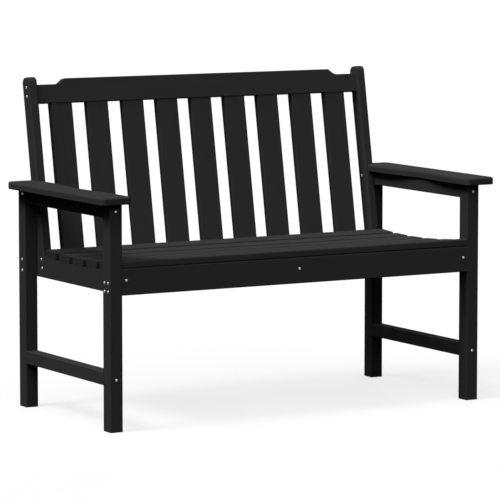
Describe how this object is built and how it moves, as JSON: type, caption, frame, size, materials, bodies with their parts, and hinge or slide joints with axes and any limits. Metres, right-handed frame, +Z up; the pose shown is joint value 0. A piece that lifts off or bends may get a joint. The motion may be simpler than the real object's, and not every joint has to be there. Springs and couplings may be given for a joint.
{
  "type": "garden bench",
  "caption": "Slatted garden bench with flat waisted armrests, a dished seat and a raked back under a shaped top rail, screwed together from black plastic lumber boards.",
  "frame": {"origin": "on the floor, under the middle of the bench's plan", "axes": "+X along the seat to the right of someone facing the bench, +Y towards the back, +Z up"},
  "size_m": [1.19, 0.589, 0.876],
  "materials": {
    "hdpe_lumber": "black moulded boards, satin-matte, with a faint grain",
    "stainless_steel": "bright button heads"
  },
  "bodies": {
    "root": {"apron_leg_screws": "stainless_steel", "apron_screws": "stainless_steel", "arm_support_left": "hdpe_lumber", "arm_support_right": "hdpe_lumber", "arm_support_screws": "stainless_steel", "armrest_left": "hdpe_lumber", "armrest_right": "hdpe_lumber", "armrest_screws": "stainless_steel", "back_post_left": "hdpe_lumber", "back_post_right": "hdpe_lumber", "back_slat_1": "hdpe_lumber", "back_slat_2": "hdpe_lumber", "back_slat_3": "hdpe_lumber", "back_slat_4": "hdpe_lumber", "back_slat_5": "hdpe_lumber", "back_slat_6": "hdpe_lumber", "back_slat_7": "hdpe_lumber", "back_slat_8": "hdpe_lumber", "back_slat_9": "hdpe_lumber", "bearer_screw": "stainless_steel", "centre_seat_bearer": "hdpe_lumber", "front_apron": "hdpe_lumber", "front_leg_left": "hdpe_lumber", "front_leg_right": "hdpe_lumber", "front_slat_screws": "stainless_steel", "lower_back_rail": "hdpe_lumber", "post_bolt_nuts": "stainless_steel", "post_bolts": "stainless_steel", "post_foot_screws": "stainless_steel", "rear_leg_left": "hdpe_lumber", "rear_leg_right": "hdpe_lumber", "seat_side_rail_left": "hdpe_lumber", "seat_side_rail_right": "hdpe_lumber", "seat_slat_1": "hdpe_lumber", "seat_slat_2": "hdpe_lumber", "seat_slat_3": "hdpe_lumber", "seat_slat_4": "hdpe_lumber", "seat_slat_5": "hdpe_lumber", "seat_slat_6": "hdpe_lumber", "seat_slat_screws": "stainless_steel", "side_rail_screws": "stainless_steel", "side_stretcher_left": "hdpe_lumber", "side_stretcher_right": "hdpe_lumber", "stretcher_screws": "stainless_steel", "top_back_rail": "hdpe_lumber", "top_rail_screws": "stainless_steel"}
  },
  "joints": []
}
